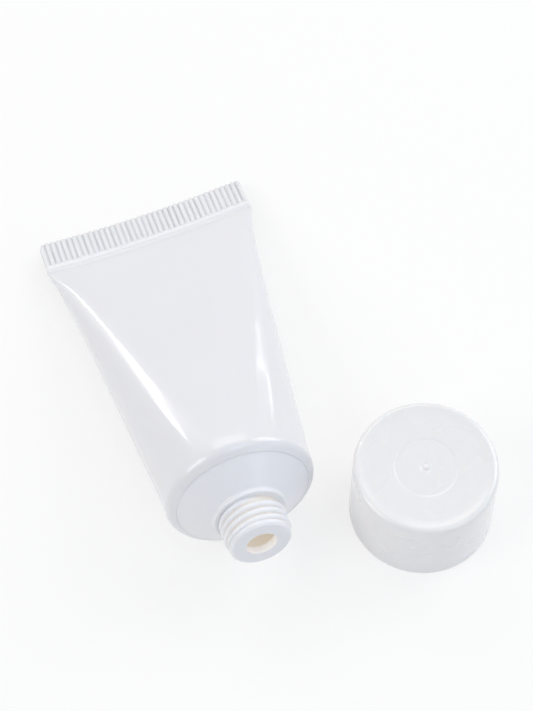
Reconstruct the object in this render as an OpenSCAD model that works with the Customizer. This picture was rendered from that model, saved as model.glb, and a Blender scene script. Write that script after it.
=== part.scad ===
// Cosmetic squeeze tube, lying on its sleeve, with its screw cap taken off and stood on its rim beside it.
// Sizes are in millimetres. The tube's own axis runs through the middle of its neck. Places along it are
// measured from the rim, where the sleeve is still round: d forwards to the tip, s back to the seal.

/* [Sleeve] */
// Outer diameter of the sleeve at its round end
sleeve_d = 30; // [27:0.5:34]
// Thickness of the sleeve's wall
sleeve_wall = 0.5; // [0.4:0.05:0.7]
// Length of the sleeve from its round end to the seal
sleeve_len = 68; // [60:1:80]
// Share of the widening that comes evenly along the sleeve, the rest flares out beside the seal
even_flare = 0.84; // [0.75:0.01:0.9]
// How sharply the rest flares out
flare_power = 8; // [5:1:10]
// Squareness of the flattened sections at the seal, where 2 is an ellipse
squareness = 4; // [3.4:0.1:4.6]
// Length over which the round end eases into the flattening
ease_len = 3; // [2:0.5:5]

/* [Seal] */
// Height of the flat seal beyond the sleeve
seal_h = 9; // [7:0.5:10]
// How much thinner the seal is than the two walls that are welded in it
seal_press = 0.05; // [0:0.01:0.15]
// How far the two ends of the seal curl up from its middle
seal_bow = 1.15; // [0:0.05:2]
// How far the seal stands off to the right of the neck's axis
seal_lean = 1.8; // [-3:0.1:3]
// How much further back its right end is than its left end
seal_skew = 2; // [-3:0.1:3]
// Number of flutes across the seal
flutes = 38; // [28:1:44]
// Height of the fluted band, which runs out at the cut edge
flute_h = 6; // [4:0.5:6.5]
// Depth of a flute from its crest to the fold between two
flute_depth = 0.4; // [0.2:0.05:0.6]
// How far the weld bead below the flutes stands out
bead_rise = 0.12; // [0.05:0.01:0.2]
// Radius of the seal's two outer corners
seal_corner = 1.5; // [0.5:0.1:2.5]

/* [Shoulder] */
// Radius of the rounded edge between the sleeve and the shoulder
edge_r = 2; // [1.6:0.1:2.4]
// Slope of the shoulder's cone
cone_angle = 33; // [28:1:36]
// How far inside the sleeve's outline its turned-in edge ends
turn_in = 1.8; // [1.6:0.1:2.2]
// How far the turned-in edge stands over the shoulder
turn_step = 0.12; // [0.05:0.01:0.3]
// Thickness of the shoulder's wall
shoulder_wall = 1.2; // [0.9:0.1:1.5]
// How far the head reaches back into the sleeve
plug_len = 1.5; // [1:0.25:3]
// How much the head narrows over that length
plug_taper = 0.3; // [0.2:0.05:0.5]
// Gap left for the weld between the head and the sleeve
bond_gap = 0.03; // [0.02:0.01:0.08]

/* [Neck] */
// Length of the neck from the foot of its bead to the tip
neck_h = 7.55; // [6.5:0.05:8.5]
// Diameter of the neck at the root of its thread
core_d = 11.7; // [11.4:0.1:12]
// Radius of the hollow corner at that root
root_r = 0.2; // [0.1:0.05:0.3]
// Height of the thread's ridge over its root
thread_rise = 0.65; // [0.45:0.05:0.8]
// Pitch of the thread
thread_pitch = 1.6; // [1.4:0.1:1.8]
// Half width of the thread's ridge at its root
thread_half = 0.62; // [0.5:0.01:0.68]
// Plain stretch between the end of the thread and the lip
thread_stop = 0.25; // [0.2:0.05:0.5]
// Diameter of the bead at the foot of the neck
bead_d = 14.6; // [14.2:0.1:15]
// Height of the bead along the neck
bead_h = 0.85; // [0.7:0.05:1.1]
// Radius of the bead's front edge
bead_edge = 0.3; // [0.1:0.05:0.4]
// Radius of the hollow corner where the shoulder meets the bead
foot_r = 0.5; // [0.3:0.1:0.6]
// Diameter of the plain lip at the tip
lip_d = 12.2; // [11.9:0.1:12.5]
// Height of the plain lip
lip_h = 1.15; // [0.9:0.05:1.4]
// Height of the slope below the lip
lip_slope = 0.15; // [0.05:0.05:0.2]
// Radius of the lip's outer edge
lip_edge = 0.45; // [0.2:0.05:0.6]
// Diameter of the orifice
orifice_d = 6; // [3:0.5:7]
// Thickness of the end wall that the orifice goes through
orifice_wall = 1.7; // [1.2:0.1:2.2]
// Thickness of the neck's wall behind it
neck_wall = 1.35; // [1.1:0.05:1.6]

/* [Cap] */
// How far the cap's open rim stands inside the sleeve's outline
cap_inset = 0.7; // [0.2:0.1:1.2]
// How much narrower the cap is at its top
cap_draft = 0.8; // [0.2:0.1:0.8]
// Height of the cap
cap_h = 18.9; // [16.5:0.1:20]
// Radius of the rounded edge round the top
cap_edge = 1.1; // [0.6:0.1:1.5]
// Wall of the skirt and of the top
cap_wall = 1.25; // [1:0.05:1.5]
// Bevel at the outer edge of the open rim
rim_bevel = 0.25; // [0.1:0.05:0.4]
// Width of the land between the rounded edge and the dish in the top
land_w = 1.15; // [0.8:0.05:1.5]
// How far the land falls towards the dish
land_drop = 0.25; // [0.1:0.05:0.35]
// Depth of the dish
dish_depth = 0.6; // [0.4:0.05:0.9]
// Radius of the flat disc in the middle of the dish
disc_r = 6.2; // [5.5:0.1:7]
// Small step down to the disc
disc_step = 0.08; // [0.04:0.02:0.14]
// Radius of the gate mark's dimple
gate_r = 1.1; // [0.8:0.1:1.4]
// Depth of that dimple, and height of the nib in its middle
gate_depth = 0.15; // [0.1:0.05:0.3]
// Wall of the threaded collar inside
collar_wall = 1.05; // [0.9:0.05:1.3]
// Smooth stretch at the mouth of the collar, before its thread
lead_in = 1.4; // [1:0.1:1.8]
// How much wider the collar is there than along its thread
mouth_relief = 0.2; // [0.1:0.05:0.3]
// Turns of the thread inside the collar
cap_turns = 1.6; // [1:0.1:2]

/* [Fits] */
// Radial gap between the neck's thread and the cap's collar
thread_gap = 0.2; // [0.15:0.05:0.3]
// Gap between the cap's rim and the shoulder when the cap is screwed on
rim_gap = 0.3; // [0.2:0.1:0.6]

/* [Layout] */
// Sideways gap between the cap and the tube's round end
cap_aside = 5.1; // [2:0.1:12]
// Where the cap stands, along the tube from the middle of its rim
cap_y = -9.3; // [-16:0.1:0]
// Where the tube bears on the surface, as a share of the sleeve's length
rest_share = 0.4; // [0.3:0.05:0.5]

/* [Hidden] */
$fn = 96;

// Sections along the sleeve's outside and inside, steps round its edge and along a quarter of a section
body_steps = 16;
inner_steps = 9;
edge_steps = 4;
curve_steps = 40;
// Slice of the sleeve that is left solid between its hollow and the seal
closed_end = 1;
// Columns of points in each flute, and how full its crest is, where 1 is a plain sine
flute_cols = 4;
flute_round = 0.8;
// Where the weld bead crests and ends, as shares of the plain band below the flutes
bead_crest = 0.3;
bead_end = 0.8;
// Shape of a thread's ridge, as shares of its height and half width: where its flanks start and end, and
// how wide it is there
flank_start = 0.1;
flank_end = 0.8;
flank_w = 0.55;
// How deep a ridge is sunk into its wall, how far its ends dip under the wall's face, and the part of a
// turn over which they do so
ridge_sunk = 0.3;
ridge_dip = 0.05;
ridge_fade = 1 / 6;
// Height and width of the cap's ridge as shares of the neck's, so that it runs freely in the groove
cap_ridge_h = 0.9;
cap_ridge_w = 0.7;

rim_r = sleeve_d / 2;
girth = PI * sleeve_d;
seal_t = 2 * sleeve_wall - seal_press;
// Half width of the sleeve when it is pressed flat
seal_half = PI * (sleeve_d - sleeve_wall) / 4 + sleeve_wall / 2;
full_len = sleeve_len + seal_h;

// The sleeve keeps its girth all along: its half width follows the flare, its squareness grows towards the
// seal, and its half height is what is left for the girth.
function eased(s) = sqrt(s * s + ease_len * ease_len) - ease_len;
function share(s) = eased(s) / eased(sleeve_len);
function half_width(s) = rim_r + (seal_half - rim_r)
    * (even_flare * share(s) + (1 - even_flare) * pow(share(s), flare_power));
function section_power(s) = 2 + (squareness - 2) * share(s);
// The film was pressed flat a little out of true, so towards the seal its sections move aside, turn and curl
function swayed(p, s) = let (near = pow(s / sleeve_len, 2), x = p.x / seal_half)
    p + [seal_lean * s / sleeve_len, seal_bow * near * x * x, -seal_skew / 2 * near * x];

// Upper half of the outline |x/a|^n + |u/b|^n = 1, from its right end over the top to its left end
function half_outline(a, b, n) = [for (i = [0:2 * curve_steps])
    let (phi = 90 * i / curve_steps, c = cos(phi))
    [a * sign(c) * pow(abs(c), 2 / n), b * pow(sin(phi), 2 / n)]];
function lengths(p) = [for (i = 0, t = 0; i < len(p);
    t = i + 1 < len(p) ? t + norm(p[i + 1] - p[i]) : t, i = i + 1) t];
function arc_length(p) = let (t = lengths(p)) t[len(t) - 1];
function solve_height(a, n, low, high, tries) = let (mid = (low + high) / 2)
    tries == 0 ? mid
    : 2 * arc_length(half_outline(a, mid, n)) > girth ? solve_height(a, n, low, mid, tries - 1)
    : solve_height(a, n, mid, high, tries - 1);
function half_height(s) = s <= 0 ? rim_r
    : max(seal_t / 2, solve_height(half_width(s), section_power(s), seal_t / 4, rim_r, 14));

// The same outline as points at even distances along it, so that they lie along the sleeve's own fibres
function even_points(p, count) = let (t = lengths(p), last = len(p) - 1)
    [for (j = [0:count]) let (k = t[last] * j / count)
        [lookup(k, [for (i = [0:last]) [t[i], p[i].x]]), lookup(k, [for (i = [0:last]) [t[i], p[i].y]])]];
function whole_ring(upper, z) = let (last = len(upper) - 1) concat(
    [for (p = upper) [p.x, p.y, z]],
    [for (j = [last - 1:-1:1]) [upper[j].x, -upper[j].y, z]]);
function section_ring(s, inset) = [for (p = whole_ring(even_points(half_outline(
    half_width(s) - inset, half_height(s) - inset, section_power(s)), flutes), -s))
    swayed(p, s)];
function round_ring(r, d) = whole_ring(
    [for (j = [0:flutes]) r * [cos(180 * j / flutes), sin(180 * j / flutes)]], d);

// Stations from the rim to the seal, closer together at both ends
function station(i, steps, length) = length * (1 - cos(180 * i / steps)) / 2;

// Points of an arc in an outline, round a centre at radius x and height y
function arc(x, y, r, from, to, steps) = [for (i = [0:steps])
    let (a = from + (to - from) * i / steps) [x + r * cos(a), y + r * sin(a)]];

// The turned-in edge: an arc of edge_r about a circle inside the rim, then a short run along the cone
edge_arc = 90 - cone_angle;
edge_centre = rim_r - edge_r;
arc_end_r = edge_centre + edge_r * cos(edge_arc);
turn_r = rim_r - turn_in;
turn_run = (arc_end_r - turn_r) / cos(cone_angle);
function edge_point(inset, phi, run) = [
    edge_centre + (edge_r - inset) * cos(phi) - run * cos(cone_angle),
    (edge_r - inset) * sin(phi) + run * sin(cone_angle)];
function edge_profile(inset, run) = concat([edge_point(inset, edge_arc, run)],
    [for (i = [0:edge_steps - 1]) edge_point(inset, edge_arc * (1 - i / edge_steps), 0)]);

// How the tube lies: it bears on the underside of its sleeve, a little behind the rim
rest_s = rest_share * sleeve_len;
rest_span = 8;
rest_slope = (half_height(rest_s - rest_span) - half_height(rest_s + rest_span)) / (2 * rest_span);
tilt = atan(rest_slope);
underside = concat(
    [for (i = [0:body_steps]) let (s = station(i, body_steps, sleeve_len)) half_height(s) + rest_slope * s],
    [seal_t / 2 + flute_depth / 2 + rest_slope * full_len]);
rim_z = max(underside) * cos(tilt);

// Places along the neck, from the shoulder's cone to the tip
function cone_front(r) = edge_point(turn_step, edge_arc, turn_run).y + (turn_r - r) * tan(cone_angle);
foot_d = cone_front(bead_d / 2);
bead_top_d = foot_d + bead_h;
tip_d = foot_d + neck_h;
thread_low_d = bead_top_d + thread_half / 3;
thread_high_d = tip_d - lip_h - thread_half - thread_stop;
thread_turns = (thread_high_d - thread_low_d) / thread_pitch;
thread_start = 60;

// The cap's own heights follow the neck that it screws onto
cap_r = rim_r - cap_inset;
cap_top_r = cap_r - cap_draft / 2;
cap_bore_r = core_d / 2 + thread_rise + thread_gap;
collar_r = cap_bore_r + collar_wall;
land_r = core_d / 2 - neck_wall;
// Place of the sleeve's front right under the cap's rim, on its rounded edge or on the cone
function sleeve_front(r) = r > arc_end_r ? sqrt(edge_r * edge_r - pow(r - edge_centre, 2))
    : edge_r * sin(edge_arc) + (arc_end_r - r) * tan(cone_angle);
rim_front = sleeve_front(cap_r - cap_wall) + rim_gap;
seat_z = tip_d - rim_front;
collar_z = bead_top_d - rim_front + rim_gap;
panel_z = cap_h - dish_depth - cap_wall;
cap_x = rim_r + cap_aside + cap_r;

// Seal: each row is a line of columns across the front, and the same line across the back
seal_cols = flutes * flute_cols;
band_h = seal_h - flute_h;
function flute_wave(c) = pow(abs(sin(180 * c / flute_cols)), flute_round) - 0.5;
function corner_drop(x) = let (over = max(0, abs(x) - (seal_half - seal_corner)))
    seal_corner - sqrt(max(0, seal_corner * seal_corner - over * over));
function seal_x(c) = seal_half * (1 - 2 * c / seal_cols);
function seal_point(c, v, depth, rise, face) = swayed([
    seal_x(c),
    flute_depth * depth * flute_wave(c) + (c == 0 || c == seal_cols ? 0 : face * (seal_t / 2 + rise)),
    -sleeve_len - v + corner_drop(seal_x(c)) * v / seal_h], sleeve_len);
function seal_ring(v, depth, rise) = concat(
    [for (c = [0:seal_cols]) seal_point(c, v, depth, rise, 1)],
    [for (c = [seal_cols - 1:-1:1]) seal_point(c, v, depth, rise, -1)]);

// The origin is under the middle of the box round both, on the surface
low_x = seal_lean - seal_half;
high_x = cap_x + cap_r;
low_y = min(cap_y - cap_r, -tip_d * cos(tilt) - lip_d / 2 * sin(tilt));
high_y = max([for (p = seal_ring(seal_h, 1, 0)) p.y * sin(tilt) - p.z * cos(tilt)]);
middle = [(low_x + high_x) / 2, (low_y + high_y) / 2, 0];

module lay_tube() {
    translate([0, 0, rim_z] - middle)
        rotate([90 - tilt, 0, 0])
            children();
}

// Faces between two rings of equal count, whose first points are at the indices a and b
function band_faces(a, b, count) = [for (j = [0:count - 1]) let (k = (j + 1) % count)
    [a + j, b + j, b + k, a + k]];
// Faces that fan one coarse column out to the fine columns of a flute
function fan_faces(a, b, coarse, split) = let (fine = coarse * split, half = floor(split / 2))
    [for (j = [0:coarse - 1]) let (k = (j + 1) % coarse) each concat(
        [for (i = [0:half - 1]) [a + j, b + j * split + i, b + j * split + i + 1]],
        [[a + j, b + j * split + half, a + k]],
        [for (i = [half:split - 1]) [a + k, b + j * split + i, b + (j * split + i + 1) % fine]])];
// Faces across a ring from its upper half to its lower half, which close an end
function closing_faces(a, half, flip) = [for (j = [0:half - 1])
    let (p = a + j, q = a + j + 1, r = a + (2 * half - j - 1) % (2 * half), s = a + (2 * half - j) % (2 * half))
    let (f = j == 0 ? [p, q, r] : j == half - 1 ? [p, q, s] : [p, q, r, s])
    flip ? [for (i = [len(f) - 1:-1:0]) f[i]] : f];

module tube_sleeve() {
    around = 2 * flutes;
    outer = concat(
        [for (p = edge_profile(0, turn_run)) round_ring(p[0], p[1])],
        [for (i = [0:body_steps]) section_ring(station(i, body_steps, sleeve_len), 0)]);
    inner = concat(
        [for (p = edge_profile(sleeve_wall, turn_run)) round_ring(p[0], p[1])],
        [for (i = [0:inner_steps]) section_ring(station(i, inner_steps, sleeve_len - closed_end), sleeve_wall)]);
    seal = [
        seal_ring(band_h * bead_crest, 0, bead_rise),
        seal_ring(band_h * bead_end, 0, 0),
        seal_ring(band_h + flute_depth, 1, 0),
        seal_ring(seal_h, 1, 0)];
    points = [for (ring = concat(outer, inner, seal)) each ring];
    outer_count = len(outer);
    inner_at = outer_count * around;
    seal_at = inner_at + len(inner) * around;
    last_outer = (outer_count - 1) * around;
    fine = around * flute_cols;
    faces = concat(
        [for (i = [0:outer_count - 2]) each band_faces(i * around, (i + 1) * around, around)],
        fan_faces(last_outer, seal_at, around, flute_cols),
        [for (i = [0:len(seal) - 2]) each band_faces(seal_at + i * fine, seal_at + (i + 1) * fine, fine)],
        closing_faces(seal_at + (len(seal) - 1) * fine, seal_cols, true),
        [for (i = [0:len(inner) - 2]) each band_faces(inner_at + (i + 1) * around, inner_at + i * around, around)],
        closing_faces(inner_at + (len(inner) - 1) * around, flutes, false),
        band_faces(inner_at, 0, around));
    color("white")
        lay_tube()
            polyhedron(points, faces, convexity = 6);
}

// A ridge of half width w that climbs a helix on a wall of radius root, outwards where rise is positive and
// inwards where it is negative, and fades at both ends. Its foot is sunk into the wall that carries it.
function ridge_section(root, rise, w, side) = [
    [root - side * ridge_sunk, side * w],
    [root + rise * flank_start, side * w],
    [root + rise * flank_end, side * w * flank_w],
    [root + rise, 0],
    [root + rise * flank_end, -side * w * flank_w],
    [root + rise * flank_start, -side * w],
    [root - side * ridge_sunk, -side * w]];
module helix_ridge(root, rise, w, start_z, start_angle, turns, steps) {
    side = sign(rise);
    count = ceil(turns * steps);
    fade = steps * ridge_fade;
    rings = [for (i = [0:count])
        let (angle = start_angle + 360 * turns * i / count,
             size = min(1, i / fade, (count - i) / fade),
             sunk_root = root - side * ridge_dip * (1 - size))
        [for (p = ridge_section(sunk_root, rise * size, w, side))
            [p.x * cos(angle), p.x * sin(angle), start_z + thread_pitch * turns * i / count + p.y]]];
    sides = len(rings[0]);
    faces = concat(
        [[for (k = [0:sides - 1]) k]],
        [for (i = [0:count - 1]) each band_faces(i * sides, (i + 1) * sides, sides)],
        [[for (k = [sides - 1:-1:0]) count * sides + k]]);
    polyhedron([for (ring = rings) each ring], faces, convexity = 8);
}

// Shoulder and neck as one turned outline, from the back of the head over the outside to the tip and back
module tube_head() {
    weld = sleeve_wall + bond_gap;
    bead_r = bead_d / 2;
    core_r = core_d / 2;
    lip_r = lip_d / 2;
    plug_r = rim_r - weld;
    inner_r = plug_r - plug_taper - shoulder_wall;
    drop = shoulder_wall / cos(cone_angle);
    foot_top_d = cone_front(bead_r + foot_r) + foot_r / cos(cone_angle);
    outline = concat(
        [[plug_r - plug_taper, -plug_len]],
        [for (i = [edge_steps:-1:0]) edge_point(weld, edge_arc * (1 - i / edge_steps), 0)],
        [edge_point(weld, edge_arc, turn_run + bond_gap), edge_point(turn_step, edge_arc, turn_run + bond_gap)],
        arc(bead_r + foot_r, foot_top_d, foot_r, 180 + edge_arc, 180, 3),
        arc(bead_r - bead_edge, bead_top_d - bead_edge, bead_edge, 0, 90, 3),
        arc(core_r + root_r, bead_top_d + root_r, root_r, 270, 180, 3),
        [[core_r, tip_d - lip_h - lip_slope], [lip_r, tip_d - lip_h]],
        arc(lip_r - lip_edge, tip_d - lip_edge, lip_edge, 0, 90, 4),
        [[orifice_d / 2, tip_d], [orifice_d / 2, tip_d - orifice_wall]],
        [[land_r, tip_d - orifice_wall], [land_r, cone_front(land_r) - drop]],
        [[inner_r, cone_front(inner_r) - drop], [inner_r, -plug_len]]);
    color("white")
        lay_tube() {
            rotate_extrude()
                polygon(outline);
            helix_ridge(core_r, thread_rise, thread_half, thread_low_d, thread_start, thread_turns, 36);
        }
}

module screw_cap() {
    dish_z = cap_h - dish_depth;
    dish_r = cap_top_r - cap_edge - land_w;
    rim_in = cap_r - cap_wall;
    ridge_w = thread_half * cap_ridge_w;
    mouth_r = cap_bore_r + mouth_relief;
    outline = concat(
        [[cap_r - rim_bevel, 0], [cap_r, rim_bevel]],
        arc(cap_top_r - cap_edge, cap_h - cap_edge, cap_edge, 0, 90, 5),
        [[dish_r, cap_h - land_drop], [disc_r, dish_z + disc_step], [disc_r - 4 * disc_step, dish_z]],
        [[gate_r, dish_z], [gate_r * 0.8, dish_z - gate_depth], [gate_r * 0.4, dish_z - gate_depth],
            [gate_r * 0.25, dish_z + gate_depth], [0, dish_z + gate_depth]],
        [[0, panel_z], [land_r, panel_z], [land_r, seat_z], [cap_bore_r, seat_z]],
        [[cap_bore_r, collar_z + lead_in], [mouth_r, collar_z + lead_in]],
        [[mouth_r, collar_z + rim_bevel], [mouth_r + rim_bevel, collar_z], [collar_r, collar_z]],
        [[collar_r, panel_z], [rim_in - cap_draft / 2, panel_z], [rim_in, 0]]);
    color("white")
        translate([cap_x, cap_y, 0] - middle) {
            rotate_extrude()
                polygon(outline);
            helix_ridge(cap_bore_r, -thread_rise * cap_ridge_h, ridge_w,
                collar_z + lead_in + thread_half, 0, cap_turns, 24);
        }
}

tube_sleeve();
tube_head();
screw_cap();
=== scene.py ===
# %% [markdown]
# A small squeeze tube and its screw cap, both in white plastic. The tube lies on the flat underside of its
# sleeve with the open neck towards us, and the cap stands beside it on its open rim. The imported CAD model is
# the fixed frame. This script lays finer surfaces in the same places and gives each its finish.

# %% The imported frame
import math

import bpy
import numpy as np
from mathutils import Matrix, Vector


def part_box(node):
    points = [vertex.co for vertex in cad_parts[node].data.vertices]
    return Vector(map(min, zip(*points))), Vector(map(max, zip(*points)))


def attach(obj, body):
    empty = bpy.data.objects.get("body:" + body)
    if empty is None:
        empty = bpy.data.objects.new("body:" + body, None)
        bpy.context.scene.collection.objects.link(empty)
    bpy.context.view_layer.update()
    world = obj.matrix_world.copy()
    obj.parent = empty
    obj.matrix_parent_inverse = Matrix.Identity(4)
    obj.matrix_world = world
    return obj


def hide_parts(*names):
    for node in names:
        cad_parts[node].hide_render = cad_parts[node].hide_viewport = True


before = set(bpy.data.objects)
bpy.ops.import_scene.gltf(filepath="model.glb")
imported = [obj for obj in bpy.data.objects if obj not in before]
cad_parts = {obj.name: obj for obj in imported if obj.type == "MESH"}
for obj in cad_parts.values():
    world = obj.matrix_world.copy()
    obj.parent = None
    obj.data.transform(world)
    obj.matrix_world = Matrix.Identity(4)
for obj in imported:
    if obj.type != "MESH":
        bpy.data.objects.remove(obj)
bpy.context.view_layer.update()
scene = bpy.context.scene
MM = 0.001

# %% [markdown]
# The camera comes first, because everything else is judged through it. It is a place, three turns and a
# focal length. All of them were found by matching the round edges of the tube and the cap, whose true forms
# are known, with their ellipses in the photograph.

# %% Camera
PHOTO_WIDTH = 533
PHOTO_HEIGHT = 711
SENSOR_MM = 36.0
focal_pixels = 1612.6
camera_place = Vector((-0.04377, -0.15267, 0.29643))
camera_yaw = math.radians(16.37)
camera_pitch = math.radians(60.66)
camera_roll = math.radians(3.08)


def add_camera(place, yaw, pitch, roll, focal):
    """Camera that looks along yaw from +Y and pitch below the horizon, then turns by roll about that line."""
    forward = Vector((math.sin(yaw) * math.cos(pitch), math.cos(yaw) * math.cos(pitch), -math.sin(pitch)))
    level = Vector((math.cos(yaw), -math.sin(yaw), 0.0))
    down = forward.cross(level)
    right = level * math.cos(roll) + down * math.sin(roll)
    up = level * math.sin(roll) - down * math.cos(roll)
    camera = bpy.data.objects.new("camera", bpy.data.cameras.new("camera"))
    camera.matrix_world = Matrix((right, up, -forward)).transposed().to_4x4()
    camera.location = place
    camera.data.sensor_width = SENSOR_MM
    camera.data.lens = focal / max(PHOTO_WIDTH, PHOTO_HEIGHT) * SENSOR_MM
    camera.data.clip_start = 0.01
    scene.collection.objects.link(camera)
    scene.camera = camera
    return camera


camera = add_camera(camera_place, camera_yaw, camera_pitch, camera_roll, focal_pixels)
print("camera lens, mm:", round(camera.data.lens, 1))

# %% [markdown]
# The studio is a white table under soft light. Softboxes at the right, the left, the back and the front keep
# the shadows pale, and the two in front are a little blue, as daylight from a window is. Gloss shows where a
# lamp stands, so the narrow strips were placed backwards: a line of sight was reflected at each bright point
# of the sleeve in the photograph, and a strip was put where those lines went. The table is mixed with white
# where it is seen, so that it meets the white background and still takes the shadow.

# %% Studio
scene.view_settings.view_transform = "Standard"
table_size = 6.0
table_colour = (0.91, 0.905, 0.90)
table_lift = 0.70
middle_aim = (0.0, 0.0, 0.01)


def add_softbox(name, place, width, height, power, colour=(1.0, 1.0, 1.0)):
    """Rectangular lamp at a place in metres in the frame, facing its middle."""
    data = bpy.data.lights.new(name, "AREA")
    data.shape = "RECTANGLE"
    data.size = width
    data.size_y = height
    data.energy = power
    data.color = colour
    lamp = bpy.data.objects.new(name, data)
    lamp.location = place
    lamp.rotation_euler = (Vector(middle_aim) - Vector(place)).to_track_quat("-Z", "Y").to_euler()
    scene.collection.objects.link(lamp)
    return lamp


def add_strip(name, start, end, width, power):
    """Narrow lamp that reaches from start to end and faces the middle of the frame."""
    start = Vector(start)
    end = Vector(end)
    reach = end - start
    place = (start + end) / 2
    lamp = add_softbox(name, place, reach.length, width, power)
    back = place.normalized()
    along = (reach - back * reach.dot(back)).normalized()
    lamp.matrix_world = Matrix((along, back.cross(along), back)).transposed().to_4x4()
    lamp.location = place
    return lamp


def seen_rays(tree):
    """Mask that is 1 for camera, glossy and transmission rays, which are those that show the background."""
    path = tree.nodes.new("ShaderNodeLightPath")
    seen = path.outputs["Is Camera Ray"]
    for kind in ("Is Glossy Ray", "Is Transmission Ray"):
        either = tree.nodes.new("ShaderNodeMath")
        either.operation = "MAXIMUM"
        tree.links.new(seen, either.inputs[0])
        tree.links.new(path.outputs[kind], either.inputs[1])
        seen = either.outputs[0]
    return seen


def light_world(colour, strength):
    """World that lights with colour times strength and shows as plain white."""
    world = bpy.data.worlds.new("studio")
    world.use_nodes = True
    tree = world.node_tree
    light = tree.nodes["Background"]
    light.inputs["Color"].default_value = (*colour, 1.0)
    light.inputs["Strength"].default_value = strength
    white = tree.nodes.new("ShaderNodeBackground")
    white.inputs["Color"].default_value = (1.0, 1.0, 1.0, 1.0)
    mix = tree.nodes.new("ShaderNodeMixShader")
    tree.links.new(seen_rays(tree), mix.inputs[0])
    tree.links.new(light.outputs[0], mix.inputs[1])
    tree.links.new(white.outputs[0], mix.inputs[2])
    tree.links.new(mix.outputs[0], tree.nodes["World Output"].inputs["Surface"])
    scene.world = world


def table_material():
    """White table: a matt surface, mixed by table_lift with plain white where the camera sees it."""
    material = bpy.data.materials.new("table_white")
    material.use_nodes = True
    tree = material.node_tree
    tree.nodes.clear()
    matt = tree.nodes.new("ShaderNodeBsdfDiffuse")
    matt.inputs["Color"].default_value = (*table_colour, 1.0)
    white = tree.nodes.new("ShaderNodeEmission")
    share = tree.nodes.new("ShaderNodeMath")
    share.operation = "MULTIPLY"
    share.inputs[1].default_value = table_lift
    mix = tree.nodes.new("ShaderNodeMixShader")
    output = tree.nodes.new("ShaderNodeOutputMaterial")
    tree.links.new(seen_rays(tree), share.inputs[0])
    tree.links.new(share.outputs[0], mix.inputs[0])
    tree.links.new(matt.outputs[0], mix.inputs[1])
    tree.links.new(white.outputs[0], mix.inputs[2])
    tree.links.new(mix.outputs[0], output.inputs["Surface"])
    return material


def add_table():
    """Square table top, centred under the object, at the height that it lies on."""
    half = table_size / 2
    mesh = bpy.data.meshes.new("table")
    corners = [(-half, -half, 0.0), (half, -half, 0.0), (half, half, 0.0), (-half, half, 0.0)]
    mesh.from_pydata(corners, [], [(0, 1, 2, 3)])
    mesh.materials.append(table_material())
    table = bpy.data.objects.new("table", mesh)
    scene.collection.objects.link(table)
    return table


light_world((1.0, 1.0, 1.0), 0.46)
add_table()
add_softbox("key_right", (0.74, 0.16, 0.56), 0.6, 0.6, 3.2)
add_softbox("left_softbox", (-0.72, -0.04, 0.62), 0.5, 0.5, 2.7)
add_softbox("top_softbox", (0.05, 0.68, 0.70), 0.7, 0.4, 1.4)
add_softbox("front_softbox", (0.22, -0.52, 0.84), 0.5, 0.4, 1.15, (0.66, 0.80, 1.0))
add_softbox("front_right", (0.62, -0.72, 0.28), 0.8, 0.2, 0.8, (0.60, 0.80, 1.0))
add_strip("left_strip", (-0.30, 0.83, 0.272), (-0.35, 0.785, 0.35), 0.04, 0.22)
add_strip("left_strip_low", (-0.345, 0.78, 0.35), (-0.52, 0.68, 0.30), 0.018, 0.15)
add_strip("right_strip", (0.545, 0.685, 0.24), (0.705, 0.535, 0.05), 0.006, 0.07)

# %% [markdown]
# White plastic is never one flat colour. A moulded face has a faint cloudiness and a very fine waviness,
# and light goes a little way in. Hollows look warmer because light bounces there several times; that warmth
# is painted into the colour as a warm tint. The three finishes share that as one node group, which puts out a
# colour, a roughness and a normal. The shader itself stays in each material. Where the warmth is painted comes
# from an attribute that each mesh brings along.

# %% The shared plastic effect
NOISE_LOW = 0.3
NOISE_HIGH = 0.7
cloud_tone = (0.997, 1.0)
cloud_polish = (0.92, 1.08)
grain_scale = 2600.0
bump_distance = 0.00002


def new_input(group, name, kind, value):
    """Named input socket of a node group with its starting value."""
    socket = group.interface.new_socket(name, in_out="INPUT", socket_type=kind)
    socket.default_value = value


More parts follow.
